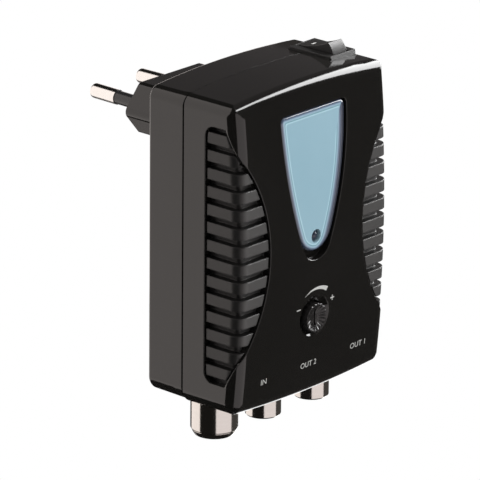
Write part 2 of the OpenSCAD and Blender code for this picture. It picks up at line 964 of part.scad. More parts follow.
// plug pins: bare end, thinner core in the sleeve, collar behind the plug's face
module plug_pin(s) {
    color([0.82, 0.82, 0.80])
        translate([s * pin_base / 2, 0, 0])
            rotate([0, 0, s * pin_lean]) {
                bar_y(0, 0, sleeve_l, pin_len - 1, pin_d / 2);
                translate([0, pin_len - 1, 0])
                    rotate([-90, 0, 0])
                        rotate_extrude() {
                            square([pin_d / 2 - 1, 1]);
                            translate([pin_d / 2 - 1, 0])
                                intersection() {
                                    circle(1, $fn = 48);
                                    square([1, 1]);
                                }
                        }
                bar_y(0, 0, -plate_t - 3, sleeve_l, core_d / 2);
                bar_y(0, 0, -plate_t - 1.5, -plate_t - pin_seat_gap, 2.7);
            }
}
module plug_pin_left() { plug_pin(-1); }
module plug_pin_right() { plug_pin(1); }
module pin_sleeves() {
    color([0.12, 0.12, 0.12])
        for (s = [-1, 1])
            translate([s * pin_base / 2, 0, 0])
                rotate([0, 0, s * pin_lean])
                    difference() {
                        bar_y(0, 0, -plate_t, sleeve_l, sleeve_d / 2);
                        bar_y(0, 0, -plate_t - 1, sleeve_l + 1, core_d / 2);
                    }
}
module pin_straps() {
    color([0.80, 0.65, 0.30])
        for (s = [-1, 1])
            difference() {
                translate([s * (pin_base / 2 + 0.1) - strap_w / 2, board_y + board_t, -0.4])
                    cube([strap_w, -board_y - board_t - plate_t - 2.2, 0.8]);
                translate([s * pin_base / 2, 0, 0])
                    rotate([0, 0, s * pin_lean])
                        bar_y(0, 0, -plate_t - 3, 0, core_d / 2);
            }
}

module circuit_board() {
    x = plate_waist + 0.5;
    color([0.10, 0.35, 0.18])
        difference() {
            along_y(board_y, board_y + board_t) {
                translate([-x, can_bottom])
                    square([x + switch_mid - bezel_w / 2 - 0.5, board_top - can_bottom]);
                translate([-board_half, can_bottom])
                    square([2 * board_half, can_top + 1 - can_bottom]);
            }
            for (s = [-1, 1])
                bar_y(s * screw_x, screw_z, board_y - 1, board_y + board_t + 1, post_r + 0.4);
        }
}

// folded tinplate box on the board, with the connectors in its lower wall
module shield_can() {
    y0 = board_y + board_t;
    w = board_half - 0.2;
    color([0.72, 0.73, 0.74])
        difference() {
            translate([-w, y0, can_bottom])
                cube([2 * w, can_back - y0, can_top - can_bottom]);
            translate([can_t - w, y0 - 1, can_bottom + can_t])
                cube([2 * (w - can_t), can_back - y0 + 1 - can_t, can_top - can_bottom - 2 * can_t]);
            for (i = [-1, 0, 1])
                translate([i * con_pitch, axis_y, can_bottom - 1])
                    cylinder(h = 3, r = neck_r);
        }
}

// laminated core with two windows, and the winding round its middle leg
module transformer_core() {
    y0 = board_y + board_t;
    color([0.45, 0.45, 0.47])
        difference() {
            translate([-core_half, y0 + core_lift, core_z - core_h / 2])
                cube([2 * core_half, core_t, core_h]);
            for (s = [-1, 1])
                translate([s * leg_x - leg_gap / 2, y0, core_z - leg_h / 2])
                    cube([leg_gap, coil_t, leg_h]);
        }
}
module transformer_coil() {
    y0 = board_y + board_t;
    w = leg_x + leg_gap / 2 - coil_gap;
    leg = leg_x - leg_gap / 2;
    color([0.80, 0.60, 0.20])
        difference() {
            translate([-w, y0, core_z - leg_h / 2 + coil_gap])
                cube([2 * w, coil_t, leg_h - 2 * coil_gap]);
            translate([-leg, y0 + core_lift, core_z - leg_h])
                cube([2 * leg, core_t, 2 * leg_h]);
        }
}
module capacitors() {
    y0 = board_y + board_t;
    color([0.10, 0.14, 0.30])
        for (s = [-1, 1])
            bar_y(s * cap_pitch / 2, screw_z + cap_up, y0, y0 + cap_h, cap_r);
}

module case_screws() {
    color([0.70, 0.70, 0.70])
        for (s = [-1, 1]) {
            difference() {
                bar_y(s * screw_x, screw_z, y_part + 3, y_part + 4.8, 2.6);
                translate([s * screw_x - 0.3, y_part + 4.2, screw_z - 1.5])
                    cube([0.6, 2, 3]);
                translate([s * screw_x - 1.5, y_part + 4.2, screw_z - 0.3])
                    cube([3, 2, 0.6]);
            }
            bar_y(s * screw_x, screw_z, y_part - 8, y_part + 3.2, 1.1);
        }
}

rear_case();
front_case();
grille_left();
grille_right();
badge();
led();
gain_knob();
pot_shaft();
pot_body();
switch_frame();
rocker();
rocker_axle();
switch_terminals();
in_shell();
in_insulator();
in_contact();
out1_shell();
out1_insulator();
out1_pin();
out2_shell();
out2_insulator();
out2_pin();
plug_pin_left();
plug_pin_right();
pin_sleeves();
pin_straps();
circuit_board();
shield_can();
transformer_core();
transformer_coil();
capacitors();
case_screws();
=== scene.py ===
import json
import math
import bmesh
import bpy
from mathutils import Matrix, Vector


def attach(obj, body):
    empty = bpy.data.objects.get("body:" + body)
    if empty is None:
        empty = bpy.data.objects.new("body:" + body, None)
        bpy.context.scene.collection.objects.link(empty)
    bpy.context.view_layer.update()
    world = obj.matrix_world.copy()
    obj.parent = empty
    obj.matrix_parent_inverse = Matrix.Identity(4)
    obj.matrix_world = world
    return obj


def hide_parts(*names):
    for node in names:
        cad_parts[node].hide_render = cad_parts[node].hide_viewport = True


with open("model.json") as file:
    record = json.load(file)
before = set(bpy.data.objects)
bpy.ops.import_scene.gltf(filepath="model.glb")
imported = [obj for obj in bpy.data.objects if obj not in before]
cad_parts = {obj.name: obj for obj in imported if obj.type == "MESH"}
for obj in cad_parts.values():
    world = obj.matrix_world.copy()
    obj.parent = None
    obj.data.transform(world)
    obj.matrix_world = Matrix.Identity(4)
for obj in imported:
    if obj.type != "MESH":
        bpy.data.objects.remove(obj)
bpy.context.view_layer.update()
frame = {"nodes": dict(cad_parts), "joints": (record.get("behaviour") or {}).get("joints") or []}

nodes = frame["nodes"]
joints = {joint["name"]: joint for joint in frame["joints"]}
scene = bpy.context.scene
scene.view_settings.view_transform = "Standard"

# the object's sizes are in millimetres, and MM turns them into the frame's metres
MM = 0.001


def box(node):
    """Low and high corner of a node of the frame, in millimetres."""
    corners = [nodes[node].matrix_world @ v.co for v in nodes[node].data.vertices]
    return [Vector([pick(c[i] for c in corners) for i in range(3)]) / MM for pick in (min, max)]


def along(a, b, t):
    """Value or point at a share t of the way from a to b."""
    return a + (b - a) * t


# the case: heights of its upper and lower edge, its foremost depth, and how far its front bows
Z_TOP, Z_BOTTOM = 14.1, -68.6
Y_APEX = -51.0
BOW = 2.4
Z_MID = (Z_TOP + Z_BOTTOM) / 2
HALF_H = (Z_TOP - Z_BOTTOM) / 2
BOW_R = (HALF_H ** 2 + BOW ** 2) / (2 * BOW)
BOW_Y = Y_APEX + BOW_R


def front_y(z):
    """Depth of the bowed front at one height."""
    return BOW_Y - math.sqrt(BOW_R ** 2 - (z - Z_MID) ** 2)


def on_front(x, z, sink=0.0):
    """Point on the bowed front, in metres, sunk below the skin by some millimetres."""
    return Vector((x, front_y(z) + sink, z)) * MM


# the camera: place in metres, angles in degrees, lens and sensor in millimetres
CAMERA_PLACE = Vector((-1.03423, -0.94188, 0.44975))
CAMERA_AZIMUTH, CAMERA_ELEVATION, CAMERA_ROLL = -48.4329, 19.2633, 0.4906
CAMERA_LENS, CAMERA_SENSOR = 423.8, 36.0


def photo_camera():
    """Camera at the photograph's viewpoint, rolled a little about its own axis."""
    a, e, r = (math.radians(v) for v in (CAMERA_AZIMUTH, CAMERA_ELEVATION, CAMERA_ROLL))
    back = Vector((math.sin(a) * math.cos(e), -math.cos(a) * math.cos(e), math.sin(e)))
    flat = Vector((math.cos(a), math.sin(a), 0.0))
    rise = back.cross(flat)
    right = flat * math.cos(r) + rise * math.sin(r)
    up = rise * math.cos(r) - flat * math.sin(r)
    data = bpy.data.cameras.new("photo_camera")
    data.sensor_width = CAMERA_SENSOR
    data.lens = CAMERA_LENS
    data.clip_start, data.clip_end = 0.05, 50.0
    camera = bpy.data.objects.new("photo_camera", data)
    scene.collection.objects.link(camera)
    turn = Matrix((right, up, back)).transposed()
    camera.matrix_world = Matrix.Translation(CAMERA_PLACE) @ turn.to_4x4()
    scene.camera = camera


photo_camera()


# building blocks for meshes and node trees
def solid(name, points, faces):
    """Mesh object from points in metres, with its faces turned outward."""
    mesh = bpy.data.meshes.new(name)
    mesh.from_pydata([Vector(p) for p in points], [], faces)
    shape = bmesh.new()
    shape.from_mesh(mesh)
    bmesh.ops.recalc_face_normals(shape, faces=shape.faces)
    shape.to_mesh(mesh)
    shape.free()
    piece = bpy.data.objects.new(name, mesh)
    scene.collection.objects.link(piece)
    return piece


def crisp(piece, degrees):
    """Smooth shading that keeps the edges sharper than an angle."""
    piece.data.shade_smooth()
    piece.data.set_sharp_from_angle(angle=math.radians(degrees))


def skin_loops(loops, closed=True, wrapped=False):
    """Points and quads between loops of one length, laid one after the other."""
    count = len(loops[0])
    points = [p for loop in loops for p in loop]
    faces = []
    for k in range(len(loops) if wrapped else len(loops) - 1):
        a, b = k * count, (k + 1) % len(loops) * count
        for i in range(count if closed else count - 1):
            j = (i + 1) % count
            faces.append((a + i, a + j, b + j, b + i))
    return points, faces


def full_turn(count):
    """Angles of evenly spaced points round a circle, in radians."""
    return [2 * math.pi * i / count for i in range(count)]


def dress(piece, material):
    """Give a piece one material."""
    piece.data.materials.clear()
    piece.data.materials.append(material)


def put(tree, kind, values=None, **settings):
    """Node with its settings, and its inputs set to a value or linked to an output."""
    node = tree.nodes.new(kind)
    for key, value in settings.items():
        setattr(node, key, value)
    for key, value in (values or {}).items():
        if hasattr(value, "is_output"):
            tree.links.new(value, node.inputs[key])
        else:
            node.inputs[key].default_value = value
    return node


def maths(tree, operation, first, second):
    """Result of a sum on two values or outputs."""
    return put(tree, "ShaderNodeMath", {0: first, 1: second}, operation=operation).outputs[0]


def ramped(tree, value, start, end, low=0.0, high=1.0):
    """Value that goes from low to high while another goes from start to end."""
    return put(tree, "ShaderNodeMapRange", {
        "Value": value, "From Min": start, "From Max": end, "To Min": low, "To Max": high}).outputs[0]


def between(tree, mask, first, second):
    """Colour mixed by a mask; each colour is a value or comes from another node."""
    node = put(tree, "ShaderNodeMix", {"Factor": mask}, data_type="RGBA")
    for label, colour in (("A", first), ("B", second)):
        if hasattr(colour, "is_output"):
            tree.links.new(colour, node.inputs[label])
        else:
            node.inputs[label].default_value = (*colour, 1)
    return node.outputs["Result"]


# light and stage, in metres round the object's middle
MIDDLE = Vector((0.0, -0.035, -0.03))
FLOOR_Z, FLOOR_HALF = -0.28, 6.0
SURROUND_FILL = 0.4
CARD_REACH, SWITCH_CARD_REACH = 0.9, 0.085
CARD_OVER_FLOOR = 0.004
CARD_COLUMNS, CARD_ROWS = 24, 16


def seen_by(tree, first, *others):
    """1 for the named kinds of ray, such as those straight from the camera, and 0 for the rest."""
    path = put(tree, "ShaderNodeLightPath").outputs
    seen = path[first]
    for ray in others:
        seen = maths(tree, "MAXIMUM", seen, path[ray])
    return seen


def white_surround():
    """White for what is seen directly or in a reflection, a plain fill for the light on the object."""
    world = bpy.data.worlds.new("studio")
    scene.world = world
    world.use_nodes = True
    tree = world.node_tree
    tree.nodes.clear()
    seen = seen_by(tree, "Is Camera Ray", "Is Glossy Ray", "Is Transmission Ray")
    tone = between(tree, seen, (SURROUND_FILL,) * 3, (1, 1, 1))
    sky = put(tree, "ShaderNodeBackground", {"Color": tone})
    put(tree, "ShaderNodeOutputWorld", {"Surface": sky.outputs[0]})


def softbox(name, place, size, watts):
    """Lamp aimed at the object. What it looks like in a reflection is left to the cards."""
    data = bpy.data.lights.new(name, "AREA")
    data.shape = "RECTANGLE"
    data.size, data.size_y = size
    data.energy = watts
    lamp = bpy.data.objects.new(name, data)
    scene.collection.objects.link(lamp)
    lamp.location = place
    lamp.rotation_euler = (MIDDLE - Vector(place)).to_track_quat("-Z", "Y").to_euler()
    lamp.visible_glossy = False


def toward(heading, elevation, reach):
    """Point in a direction from the object's middle, kept above the floor."""
    h, e = math.radians(heading), math.radians(elevation)
    if e < 0:
        reach = min(reach, (MIDDLE.z - FLOOR_Z - CARD_OVER_FLOOR) / math.sin(-e))
    return MIDDLE + reach * Vector((math.cos(h) * math.cos(e), math.sin(h) * math.cos(e), math.sin(e)))


def card(name, headings, low, high, colour, strength=1.0, reach=CARD_REACH):
    """Studio card that shows only in reflections. It spans two headings, in degrees round the object with 0
    to its right and 90 behind it, and two elevations; a sloping edge has an elevation for each heading."""
    low, high = (edge if isinstance(edge, tuple) else (edge, edge) for edge in (low, high))
    loops = []
    for k in range(CARD_ROWS + 1):
        left, right = (along(a, b, k / CARD_ROWS) for a, b in zip(low, high))
        shares = [i / CARD_COLUMNS for i in range(CARD_COLUMNS + 1)]
        loops.append([toward(along(*headings, t), along(left, right, t), reach) for t in shares])
    piece = solid(name, *skin_loops(loops, closed=False))
    material = bpy.data.materials.new(name)
    material.use_nodes = True
    tree = material.node_tree
    tree.nodes.clear()
    glow = put(tree, "ShaderNodeEmission", {"Color": (*colour, 1), "Strength": strength})
    put(tree, "ShaderNodeOutputMaterial", {"Surface": glow.outputs[0]})
    dress(piece, material)
    piece.visible_camera = False
    piece.visible_diffuse = False
    piece.visible_shadow = False


white_surround()
softbox("key_softbox", place=(0.75, -0.85, 0.6), size=(0.8, 0.8), watts=13.0)
softbox("left_softbox", place=(-1.0, 0.2, 0.3), size=(0.7, 0.9), watts=2.5)
softbox("top_softbox", place=(-0.1, -0.1, 0.9), size=(0.9, 0.6), watts=4.0)

BLACK, DIM, GREY = (0.012, 0.011, 0.010), (0.07, 0.065, 0.06), (0.12, 0.11, 0.11)
CREAM, BLUSH, WHITE = (1.0, 0.92, 0.88), (0.98, 0.90, 0.89), (1.0, 1.0, 1.0)
CREAM_LEVEL, WINDOW_LEVEL = 1.35, 12.5
ZENITH, NADIR = 88, -88
WINDOW_LOW, WINDOW_HIGH = (4, 3), (58, 38)

# each card's name, headings, low and high elevation and colour, then its strength and reach where they differ
for values in (
        ("left_flag", (150, 229), -50, ZENITH, BLACK),
        ("front_card", (229, 311), -43, 0, BLUSH, 1.15),
        ("low_front_shade", (229, 311), -60, -43, BLACK),
        ("front_flag", (229, 328), 0, ZENITH, DIM),
        ("right_flag", (311, 342), -60, 4, DIM),
        ("far_right_flag", (342, 399), -27, 4, DIM),
        ("table_flag", (342, 374), -60, -27, DIM),
        ("table_glow", (374, 405), -50, -27, WHITE, 2.4),
        ("window_card", (328, 372), WINDOW_LOW, WINDOW_HIGH, WHITE, WINDOW_LEVEL),
        ("top_flag", (328, 372), WINDOW_HIGH, ZENITH, GREY),
        ("window_flag", (372, 397), 3, ZENITH, GREY),
        ("back_flag", (35, 48), 9, ZENITH, GREY),
        ("back_shade", (48, 98), 9, ZENITH, BLACK),
        ("back_card", (39, 98), -20.7, 9, CREAM, CREAM_LEVEL),
        ("limb_flag", (39, 84), -31, -20.7, BLACK),
        ("low_card", (84, 98), -31, -20.7, CREAM, CREAM_LEVEL),
        ("switch_flag", (26, 40), 20, 39, DIM, 1.0, SWITCH_CARD_REACH),
        ("left_card", (98, 150), -40, 54, CREAM, CREAM_LEVEL),
        ("left_shade", (98, 150), 54, ZENITH, BLACK),
        ("low_back_card", (69, 82), -47, -36, CREAM, 0.42),
        ("low_back_flag", (45, 69), -47, -31, BLACK),
        ("low_mid_flag", (69, 82), -36, -31, BLACK),
        ("low_side_flag", (82, 98), -47, -31, BLACK),
        ("low_left_flag", (98, 229), -47, -40, BLACK),
        ("low_flag", (45, 229), NADIR, -47, BLACK),
        ("low_front_flag", (229, 405), NADIR, -60, BLACK)):
    card(*values)

FLOOR_CORNERS = [(-1, -1), (1, -1), (1, 1), (-1, 1)]
floor = solid("floor", [(x * FLOOR_HALF, y * FLOOR_HALF, FLOOR_Z) for x, y in FLOOR_CORNERS], [(0, 1, 2, 3)])


# effects that several finishes share: scales of the noises, and the bend at which an edge begins to get its
# painted highlight and gets it in full
NUMBER, DIRECTION = "NodeSocketFloat", "NodeSocketVector"
CLOUD_SCALE, PATCH_SCALE, PATCH_LIFT = 45.0, 160.0, 0.4
BEND_FROM, BEND_FULL = 0.97, 0.78
BEVEL_SAMPLES = 6


def effect(name, inputs, outputs):
    """Node group with named inputs and outputs, still to be filled."""
    group = bpy.data.node_groups.new(name, "ShaderNodeTree")
    for label, kind, value in inputs:
        group.interface.new_socket(label, in_out="INPUT", socket_type=kind).default_value = value
    for label in outputs:
        group.interface.new_socket(label, in_out="OUTPUT", socket_type=NUMBER)
    return group, group.nodes.new("NodeGroupInput").outputs, group.nodes.new("NodeGroupOutput").inputs


def on_object(tree):
    """Place on the object, in metres."""
    return put(tree, "ShaderNodeTexCoord").outputs["Object"]


def noise(tree, place, scale, detail=3.0):
    """Soft noise from 0 to 1."""
    return put(tree, "ShaderNodeTexNoise", {"Vector": place, "Scale": scale, "Detail": detail}).outputs["Fac"]


def moulded_skin():
    """Fine mould texture and a slow change of polish over a plastic skin."""
    group, given, made = effect(
        "moulded_skin",
        [("Grain", NUMBER, 900.0), ("Polish", NUMBER, 0.15), ("Haze", NUMBER, 0.08)],
        ["Roughness", "Height", "Cloud"])
    place = on_object(group)
    grain = noise(group, place, given["Grain"], 4.0)
    cloud = noise(group, place, CLOUD_SCALE)
    swing = maths(group, "MULTIPLY", maths(group, "ADD", cloud, grain), given["Haze"])
    group.links.new(maths(group, "ADD", swing, given["Polish"]), made["Roughness"])
    group.links.new(grain, made["Height"])
    group.links.new(cloud, made["Cloud"])
    return group


def edge_highlight_patches():
    """Mask of the sharp edges that get a painted highlight, a lighter line along them, in uneven patches."""
    group, given, made = effect(
        "edge_highlight_patches",
        [("Width", NUMBER, 0.2 * MM), ("Amount", NUMBER, 1.0)],
        ["Mask"])
    soft = put(group, "ShaderNodeBevel", {"Radius": given["Width"]}, samples=BEVEL_SAMPLES).outputs[0]
    skin = put(group, "ShaderNodeNewGeometry").outputs["Normal"]
    bend = put(group, "ShaderNodeVectorMath", {0: soft, 1: skin}, operation="DOT_PRODUCT").outputs["Value"]
    sharp = ramped(group, bend, BEND_FROM, BEND_FULL)
    patch = noise(group, on_object(group), PATCH_SCALE)
    lit_patches = maths(group, "MULTIPLY", sharp, maths(group, "ADD", patch, PATCH_LIFT))
    group.links.new(maths(group, "MULTIPLY", lit_patches, given["Amount"]), made["Mask"])
    return group


# how close the lines of a metal lie along each axis: turned, drawn along the depth, rolled and wound
TURNED, DRAWN, ROLLED = (40.0, 40.0, 9000.0), (40.0, 6000.0, 40.0), (600.0, 600.0, 4000.0)
WOUND = (30.0, 30.0, 5000.0)


def fine_lines():
    """Fine lines left by turning or drawing, close together along one direction."""
    group, given, made = effect(
        "fine_lines",
        [("Across", DIRECTION, TURNED), ("Polish", NUMBER, 0.12), ("Swing", NUMBER, 0.1)],
        ["Roughness", "Height"])
    place = on_object(group)
    pulled = put(group, "ShaderNodeVectorMath", {0: place, 1: given["Across"]}, operation="MULTIPLY")
    lines = noise(group, pulled.outputs[0], 1.0, 5.0)
    swing = maths(group, "MULTIPLY", lines, given["Swing"])
    group.links.new(maths(group, "ADD", swing, given["Polish"]), made["Roughness"])
    group.links.new(lines, made["Height"])
    return group


SKIN, EDGE_HIGHLIGHT, LINES = moulded_skin(), edge_highlight_patches(), fine_lines()

# finishes: the front shell's edges stay sharp at the groove between the shells
# light grey painted along sharp edges as a highlight line
EDGE_HIGHLIGHT_GREY = (0.16, 0.15, 0.15)
RELIEF_DEPTH, METAL_RELIEF = 0.05, 0.04
GROOVE_Y, SHARP_EDGE, SHARP_RUN = -32.5, 0.02, 1.0
# the normal along the depth at which a face begins to look ahead and get its painted light, and at which it
# does so in full
AHEAD_FROM, AHEAD_FULL = -0.82, -0.98


def finish(name):
    """New material with its node tree and its shader."""
    material = bpy.data.materials.new(name)
    material.use_nodes = True
    return material, material.node_tree, material.node_tree.nodes["Principled BSDF"]


def placed(tree, group, **values):
    """Outputs of a shared effect, placed in a material with its own values."""
    node = tree.nodes.new("ShaderNodeGroup")
    node.node_tree = group
    for key, value in values.items():
        node.inputs[key].default_value = value
    return node.outputs


def raised(tree, shader, height, strength, **normal):
    """Fine relief on a shader's surface."""
    bump = put(tree, "ShaderNodeBump", {
        "Height": height, "Strength": strength, "Distance": RELIEF_DEPTH * MM, **normal})
    tree.links.new(bump.outputs[0], shader.inputs["Normal"])


def depth_of(tree, place):
    """Part of a place or a normal that runs along the object's depth."""
    return put(tree, "ShaderNodeSeparateXYZ", {0: place}).outputs["Y"]


def plastic(name, dark, light, polish, haze, relief=0.03, highlight=0.5, edge=0.2,
            sharp_behind=None, front_painted_light=None):
    """Moulded plastic: two near shades, changing polish, fine grain, softened edges with a painted highlight.
    Its edges can stay sharp behind one depth, and the faces that look ahead can have a lighter painted shade
    of their own."""
    material, tree, shader = finish(name)
    skin = placed(tree, SKIN, Polish=polish, Haze=haze)
    edge_lit = placed(tree, EDGE_HIGHLIGHT, Width=edge * MM, Amount=highlight)
    shade = between(tree, skin["Cloud"], dark, light)
    if front_painted_light is not None:
        # painted light: faces that look ahead get a lighter shade, standing in for the light they catch
        facing = depth_of(tree, put(tree, "ShaderNodeTexCoord").outputs["Normal"])
        shade = between(tree, ramped(tree, facing, AHEAD_FROM, AHEAD_FULL), shade, front_painted_light)
    # painted highlight: the sharp edges are mixed towards light grey
    tree.links.new(between(tree, edge_lit["Mask"], shade, EDGE_HIGHLIGHT_GREY), shader.inputs["Base Color"])
    tree.links.new(skin["Roughness"], shader.inputs["Roughness"])
    width = edge * MM
    if sharp_behind is not None:
        depth = depth_of(tree, on_object(tree))
        start = (sharp_behind - SHARP_RUN) * MM
        width = ramped(tree, depth, start, sharp_behind * MM, edge * MM, SHARP_EDGE * MM)
    soft = put(tree, "ShaderNodeBevel", {"Radius": width}, samples=BEVEL_SAMPLES).outputs[0]
    raised(tree, shader, skin["Height"], relief, Normal=soft)
    return material


def metal(name, dark, light, polish, swing, across=TURNED):
    """Plated or bare metal with turning or drawing lines."""
    material, tree, shader = finish(name)
    lines = placed(tree, LINES, Across=across, Polish=polish, Swing=swing)
    tree.links.new(between(tree, lines["Height"], dark, light), shader.inputs["Base Color"])
    tree.links.new(lines["Roughness"], shader.inputs["Roughness"])
    shader.inputs["Metallic"].default_value = 1.0
    raised(tree, shader, lines["Height"], METAL_RELIEF)
    return material


gloss_black = plastic("gloss_black", (0.0055, 0.0052, 0.0047), (0.0085, 0.0080, 0.0074),
                      polish=0.045, haze=0.03, highlight=0.1, edge=0.4, sharp_behind=GROOVE_Y)
shell_black = plastic("shell_black", (0.0065, 0.0060, 0.0055), (0.0100, 0.0092, 0.0086),
                      polish=0.06, haze=0.04, highlight=0.0, edge=0.06)
# the ribs' forward faces get a lighter painted shade, standing in for the light they catch
rib_black = plastic("rib_black", (0.007, 0.0066, 0.0063), (0.011, 0.0104, 0.010),
                    polish=0.32, haze=0.08, highlight=0.1, edge=0.55, front_painted_light=(0.050, 0.049, 0.048))
knob_black = plastic("knob_black", (0.008, 0.0075, 0.0075), (0.016, 0.015, 0.015), polish=0.12, haze=0.08)
switch_black = plastic("switch_black", (0.008, 0.0078, 0.0075), (0.014, 0.0135, 0.013),
                       polish=0.36, haze=0.08, relief=0.1)
rocker_black = plastic("rocker_black", (0.010, 0.0097, 0.0095), (0.018, 0.0175, 0.017),
                       polish=0.24, haze=0.08, relief=0.1)
sleeve_black = plastic("sleeve_black", (0.014, 0.014, 0.0145), (0.024, 0.024, 0.025),
                       polish=0.16, haze=0.08)
lens_dark = plastic("lens_dark", (0.020, 0.026, 0.042), (0.032, 0.040, 0.062),
                    polish=0.06, haze=0.05, highlight=0.0)
natural_white = plastic("natural_white", (0.66, 0.66, 0.63), (0.76, 0.76, 0.73), polish=0.40, haze=0.12)
board_green = plastic("board_green", (0.02, 0.10, 0.04), (0.035, 0.14, 0.06), polish=0.35, haze=0.15)
capacitor_blue = plastic("capacitor_blue", (0.012, 0.02, 0.07), (0.02, 0.032, 0.10), polish=0.25, haze=0.10)
trimmer_dark = plastic("trimmer_dark", (0.02, 0.03, 0.07), (0.03, 0.045, 0.10), polish=0.35, haze=0.12)
print_white = plastic("print_white", (0.42, 0.42, 0.40), (0.52, 0.52, 0.50),
                      polish=0.40, haze=0.12, highlight=0.0)
mark_white = plastic("mark_white", (0.80, 0.80, 0.78), (0.88, 0.88, 0.86), polish=0.35, haze=0.12, highlight=0.0)
nickel = metal("nickel", (0.56, 0.54, 0.515), (0.67, 0.65, 0.62), polish=0.10, swing=0.06)
pin_nickel = metal("pin_nickel", (0.66, 0.65, 0.63), (0.82, 0.81, 0.79),
                   polish=0.12, swing=0.08, across=DRAWN)
brass = metal("brass", (0.60, 0.42, 0.16), (0.76, 0.58, 0.28), polish=0.18, swing=0.12)
zinc = metal("zinc", (0.48, 0.48, 0.47), (0.62, 0.62, 0.60), polish=0.25, swing=0.15)
tinplate = metal("tinplate", (0.55, 0.56, 0.57), (0.70, 0.71, 0.72), polish=0.30, swing=0.15, across=ROLLED)
core_steel = metal("core_steel", (0.20, 0.20, 0.21), (0.34, 0.34, 0.35),
                   polish=0.40, swing=0.15, across=DRAWN)
winding = metal("winding", (0.45, 0.22, 0.08), (0.62, 0.34, 0.13), polish=0.35, swing=0.15, across=WOUND)

# the frame's nodes, by finish; the badge gets its own further down
for material, names in (
        (gloss_black, ["front_case"]),
        (shell_black, ["rear_case"]),
        (rib_black, ["grille_left", "grille_right"]),
        (lens_dark, ["led"]),
        (knob_black, ["gain_knob"]),
        (switch_black, ["switch_frame"]),
        (rocker_black, ["rocker"]),
        (sleeve_black, ["pin_sleeves"]),
        (natural_white, ["in_insulator", "out1_insulator", "out2_insulator"]),
        (trimmer_dark, ["pot_body"]),
        (board_green, ["circuit_board"]),
        (capacitor_blue, ["capacitors"]),
        (nickel, ["in_shell", "out1_shell", "out2_shell"]),
        (pin_nickel, ["plug_pin_left", "plug_pin_right"]),
        (brass, ["in_contact", "out1_pin", "out2_pin", "pin_straps", "switch_terminals"]),
        (zinc, ["pot_shaft", "rocker_axle", "case_screws"]),
        (tinplate, ["shield_can"]),
        (core_steel, ["transformer_core"]),
        (winding, ["transformer_coil"])):
    for name in names:
        dress(nodes[name], material)


def pale_floor():
    """Pale floor that reads as white where it is seen directly or in a reflection."""
    material, tree, shader = finish("pale_floor")
    specks = put(tree, "ShaderNodeTexNoise", {"Scale": 30.0, "Detail": 4.0}).outputs["Fac"]
    tree.links.new(between(tree, specks, (0.84, 0.84, 0.84), (0.88, 0.88, 0.88)), shader.inputs["Base Color"])
    shader.inputs["Roughness"].default_value = 0.9
    seen = seen_by(tree, "Is Camera Ray", "Is Glossy Ray")
    glow = put(tree, "ShaderNodeEmission", {"Color": (1, 1, 1, 1), "Strength": 1.0})
    mix = put(tree, "ShaderNodeMixShader", {0: seen, 1: shader.outputs[0], 2: glow.outputs[0]})
    tree.links.new(mix.outputs[0], tree.nodes["Material Output"].inputs["Surface"])
    return material


dress(floor, pale_floor())

# badge: a pillowed shield with a flat field and a hole for the light; heights count from the case's middle
BADGE_TOP, BADGE_HALF = 35.5, 12.8
BADGE_CORNER_R, BADGE_LEAST_R = 1.8, 0.6
# each curved side turns about a hub a little above the top, and a smaller arc closes the lower end
BADGE_SIDE_R, BADGE_TIP_R, BADGE_SHORT = 105.0, 5.6, 3.2
HUB_RISE = 2.1
HUB_X, HUB_Z = BADGE_HALF - BADGE_SIDE_R, BADGE_TOP + HUB_RISE
TIP_Z = HUB_Z - math.sqrt((BADGE_SIDE_R - BADGE_TIP_R) ** 2 - HUB_X ** 2)
LED_RISE, LED_HOLE_R = 0.8, 1.78
LED_Z = TIP_Z + LED_RISE
# gap to the recess, the foot's depth and the crest's sink; the rim is round between two angles in degrees
BADGE_GAP, BADGE_FOOT, BADGE_SINK = 0.3, 1.9, 0.2
RIM_R, RIM_START, RIM_END = 1.05, 6, 90
# the painted shade and highlight bands end softly, and along the right side they start further in and are
# wider
PAINTED_BANDS_FADE, PAINTED_BANDS_SHIFT, PAINTED_BANDS_STRETCH = 0.2, 1.2, 0.3
# how many points or rows each stretch is drawn with
TOP_STEPS, CORNER_STEPS, SIDE_STEPS, TIP_STEPS, RIM_STEPS, FIELD_ROWS = 8, 8, 40, 14, 12, 18


def arc(centre, radius, start, end, steps):
    """Points along an arc, angles in radians."""
    angles = [along(start, end, i / steps) for i in range(steps + 1)]
    return [(centre[0] + radius * math.cos(a), centre[1] + radius * math.sin(a)) for a in angles]


def shield(inset):
    """Outline of the badge, inset from its recess: top, corner, curved side and lower end, then mirrored."""
    big = BADGE_SIDE_R - inset
    hub = Vector((HUB_X, HUB_Z))
    low = Vector((0.0, TIP_Z + BADGE_SHORT))
    turn = max(BADGE_CORNER_R - inset, BADGE_LEAST_R)
    corner_z = BADGE_TOP - inset - turn
    corner = Vector((math.sqrt((big - turn) ** 2 - (HUB_Z - corner_z) ** 2) + HUB_X, corner_z))
    upper, lower = (math.atan2(*(p - hub).yx) for p in (corner, low))
    half = [(corner.x * i / TOP_STEPS, BADGE_TOP - inset) for i in range(TOP_STEPS)]
    half += arc(corner, turn, math.pi / 2, upper, CORNER_STEPS)
    half += arc(hub, big, upper, lower, SIDE_STEPS)[1:]
    half += arc(low, big - (low - hub).length, lower, -math.pi / 2, TIP_STEPS)[1:]
    return half + [(-x, z) for x, z in half[-2:0:-1]]


def light_hole(radius, outline):
    """Circle round the light with one point for each point of the outline."""
    ring = []
    for x, z in outline:
        way = Vector((x, z - LED_Z)).normalized()
        ring.append((way.x * radius, LED_Z + way.y * radius))
    return ring


